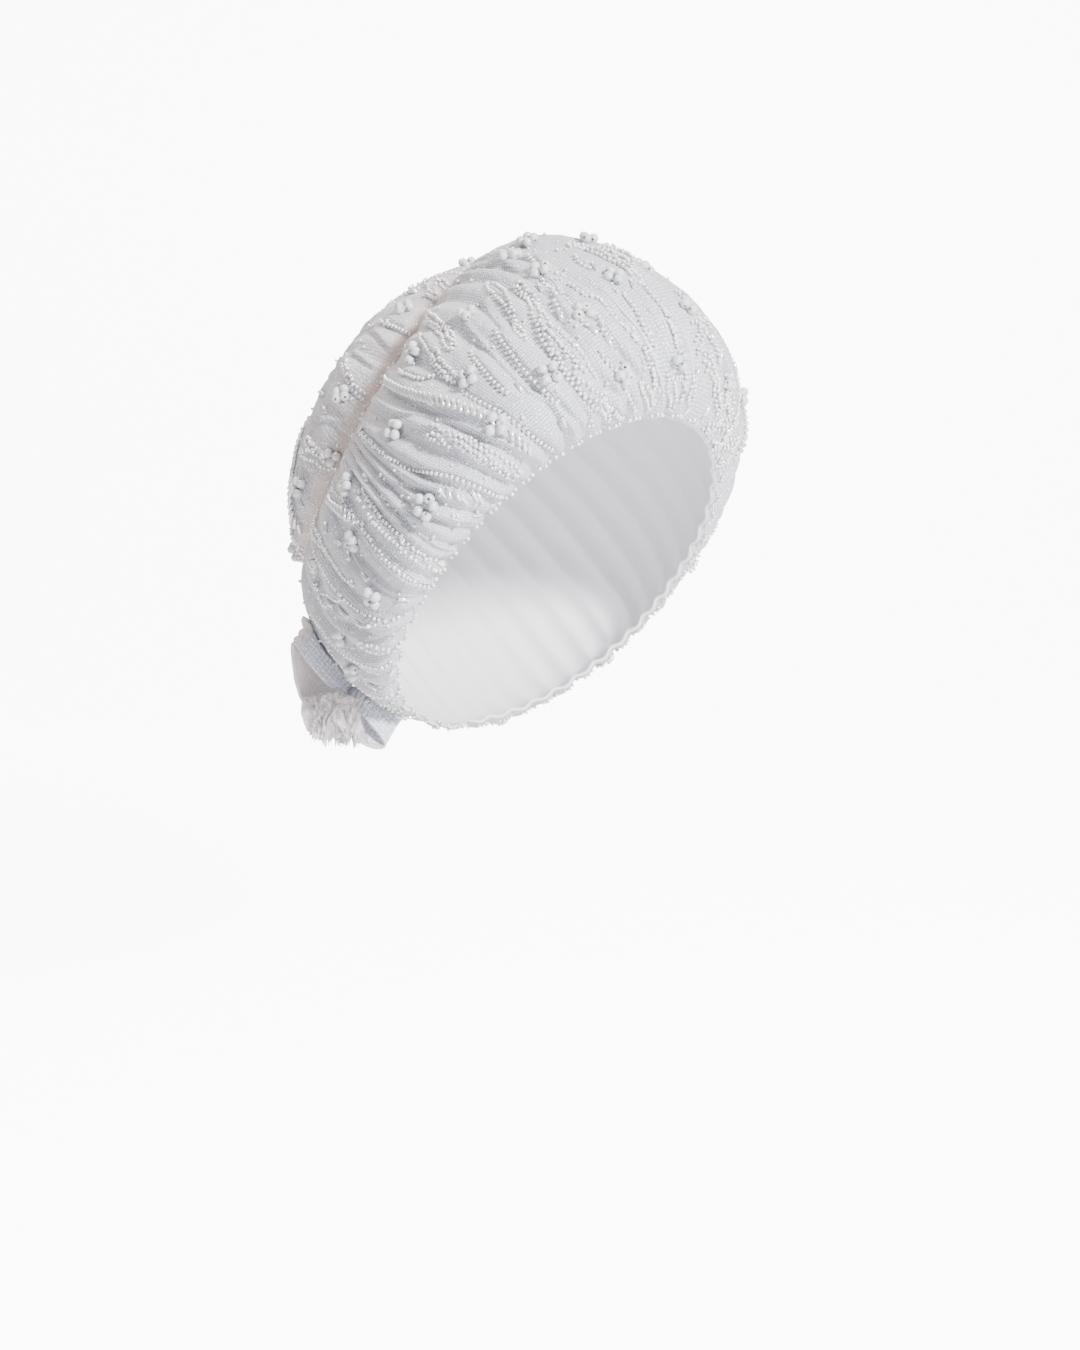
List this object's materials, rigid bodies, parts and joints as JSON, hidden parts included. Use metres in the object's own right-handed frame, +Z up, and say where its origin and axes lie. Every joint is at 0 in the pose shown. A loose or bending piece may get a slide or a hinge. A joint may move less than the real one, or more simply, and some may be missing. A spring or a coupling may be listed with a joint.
{
  "type": "juliet cap",
  "caption": "Soft ruched cap with a puffed crown, worn tilted to one side, sewn all over with pearls, seed and bugle beads, with a small bow at the back of the low side.",
  "frame": {"origin": "centre of the head opening", "axes": "+Z up as worn, the wearer looks along -Y and the wearer's left is +X; the cap is tilted to the wearer's right and back"},
  "size_m": [0.2213, 0.2347, 0.2432],
  "materials": {
    "beaded_cloth": "fine woven white cloth with a soft sheen",
    "bow_cloth": "coarse shiny woven ribbon",
    "pearl": "glossy pearl"
  },
  "bodies": {
    "root": {"band": "beaded_cloth", "tip": "beaded_cloth", "bow_loop_upper": "bow_cloth", "bow_loop_lower": "bow_cloth", "bow_knot": "bow_cloth", "bow_tuft": "bow_cloth", "pearl_cluster_01": "pearl", "pearl_cluster_02": "pearl", "pearl_cluster_03": "pearl", "pearl_cluster_04": "pearl", "pearl_cluster_05": "pearl", "pearl_cluster_06": "pearl", "pearl_cluster_07": "pearl", "pearl_cluster_08": "pearl", "pearl_cluster_09": "pearl", "pearl_cluster_10": "pearl", "pearl_cluster_11": "pearl", "pearl_cluster_12": "pearl"}
  },
  "joints": []
}
